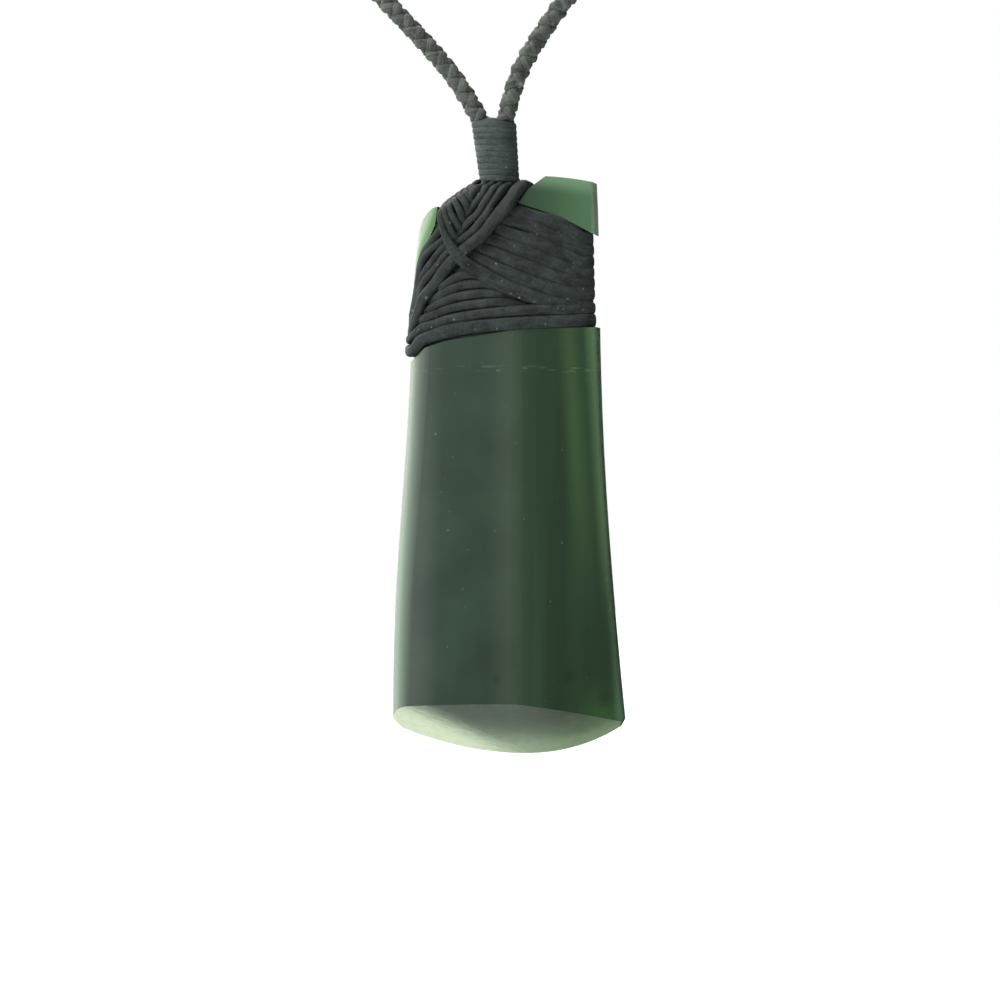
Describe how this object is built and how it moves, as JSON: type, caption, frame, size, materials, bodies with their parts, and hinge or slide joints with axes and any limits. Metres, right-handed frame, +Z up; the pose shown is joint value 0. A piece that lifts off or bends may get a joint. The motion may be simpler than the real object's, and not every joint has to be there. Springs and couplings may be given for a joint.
{
  "type": "toki adze pendant necklace",
  "caption": "Polished greenstone adze blade pendant lashed at its butt with dark waxed cord, on a looped plaited neck cord.",
  "frame": {"origin": "middle of the neck cord at the nape, where the necklace hangs on the wearer's neck", "axes": "+Z up, the blade's front faces -Y, +X to the right as seen from the front"},
  "size_m": [0.1706, 0.1565, 0.2656],
  "materials": {
    "polished_greenstone": "polished",
    "waxed_lashing_cord": "waxed",
    "plaited_neck_cord": "plaited, lightly waxed"
  },
  "bodies": {
    "root": {"adze_blade": "polished_greenstone", "lashing_turns": "waxed_lashing_cord", "lashing_under": "waxed_lashing_cord", "lashing_over": "waxed_lashing_cord", "neck_whipping": "waxed_lashing_cord", "neck_cord": "plaited_neck_cord"}
  },
  "joints": []
}
